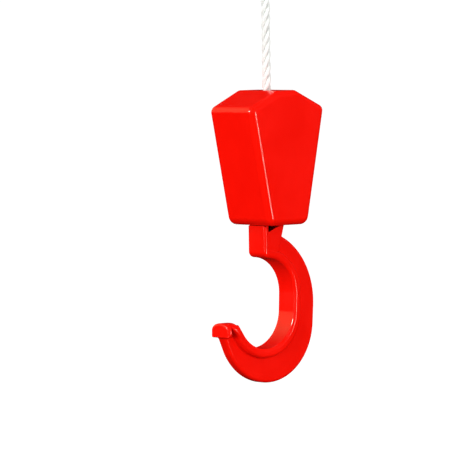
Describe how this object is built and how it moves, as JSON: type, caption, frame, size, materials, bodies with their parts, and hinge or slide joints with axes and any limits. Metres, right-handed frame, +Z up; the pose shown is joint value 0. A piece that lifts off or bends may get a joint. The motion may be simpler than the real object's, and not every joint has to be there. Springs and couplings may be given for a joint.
{
  "type": "toy crane hook block",
  "caption": "Toy crane hook block: a weighted red moulded housing hung on a white laid cord, with a swivelling moulded hook under it.",
  "frame": {"origin": "free upper end of the hoist cord, on the cord's axis", "axes": "+Z up along the hanging cord, -Y towards the block's closed front, +X towards the back of the hook"},
  "size_m": [0.0406, 0.0212, 0.1318],
  "materials": {
    "cord": "white laid polymer cord, slightly fuzzy",
    "red_plastic": "gloss moulded plastic, coloured through",
    "steel": "zinc-plated",
    "ballast": "as cast",
    "foam": "closed-cell foam",
    "washer_plastic": "natural acetal"
  },
  "bodies": {
    "cord": {"hoist_cord": "cord"},
    "cord_bend": {"cord_link": "cord"},
    "cord_tail": {"cord_knot": "cord"},
    "block": {"front_shell": "red_plastic", "rear_cover": "red_plastic", "cover_screws": "steel", "ballast_weight": "ballast", "ballast_pad": "foam", "cord_washer": "steel", "swivel_washer": "washer_plastic"},
    "hook": {"hook": "red_plastic"}
  },
  "joints": [
    {"name": "fore_swing", "type": "hinge", "parent": "cord", "child": "cord_bend", "pos_m": [0, 0, -0.0294], "axis": [1, 0, 0], "range_deg": [-60, 60], "stiffness_Nm_per_rad": 0.001},
    {"name": "side_swing", "type": "hinge", "parent": "cord_bend", "child": "cord_tail", "pos_m": [0, 0, -0.0338], "axis": [0, 1, 0], "range_deg": [-60, 60], "stiffness_Nm_per_rad": 0.001},
    {"name": "block_turn", "type": "hinge", "parent": "cord_tail", "child": "block", "pos_m": [0, 0, -0.036], "axis": [0, 0, 1], "continuous": true},
    {"name": "hook_swivel", "type": "hinge", "parent": "block", "child": "hook", "pos_m": [0, 0, -0.08], "axis": [0, 0, 1], "continuous": true}
  ]
}
